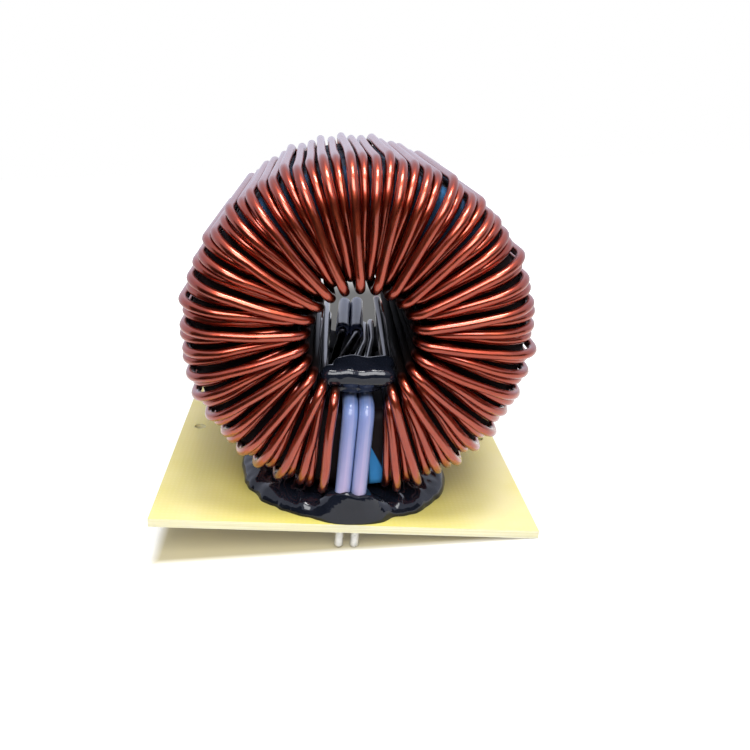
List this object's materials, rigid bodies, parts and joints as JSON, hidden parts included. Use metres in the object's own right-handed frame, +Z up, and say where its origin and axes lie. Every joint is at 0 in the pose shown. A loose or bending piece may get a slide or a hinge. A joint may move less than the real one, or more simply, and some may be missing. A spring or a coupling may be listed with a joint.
{
  "type": "toroidal inductor",
  "caption": "Toroidal power inductor: enamelled copper wire wound in two strands on stacked ring cores, standing upright on a glass-epoxy base plate with sleeved leads and tinned pins.",
  "frame": {"origin": "centre of the base plate's underside, where the part meets a circuit board", "axes": "+Z up, the winding's axis along Y, the front with the starting leads faces -Y, +X to the right seen from the front"},
  "size_m": [0.07, 0.06, 0.0703],
  "materials": {
    "glass_epoxy": "translucent pale yellow laminate, satin",
    "core_coating": "blue epoxy coating",
    "enamelled_wire": "glossy clear enamel over copper",
    "sleeve": "milky translucent tube",
    "tinned_wire": "dull tin",
    "adhesive": "glossy black"
  },
  "bodies": {
    "root": {"base_plate": "glass_epoxy", "core_front": "core_coating", "core_middle": "core_coating", "core_back": "core_coating", "winding_a": "enamelled_wire", "winding_b": "enamelled_wire", "sleeve_front_a": "sleeve", "sleeve_front_b": "sleeve", "sleeve_back_a": "sleeve", "sleeve_back_b": "sleeve", "tip_front_a": "tinned_wire", "tip_front_b": "tinned_wire", "tip_back_a": "tinned_wire", "tip_back_b": "tinned_wire", "adhesive_base": "adhesive", "adhesive_front": "adhesive"}
  },
  "joints": []
}
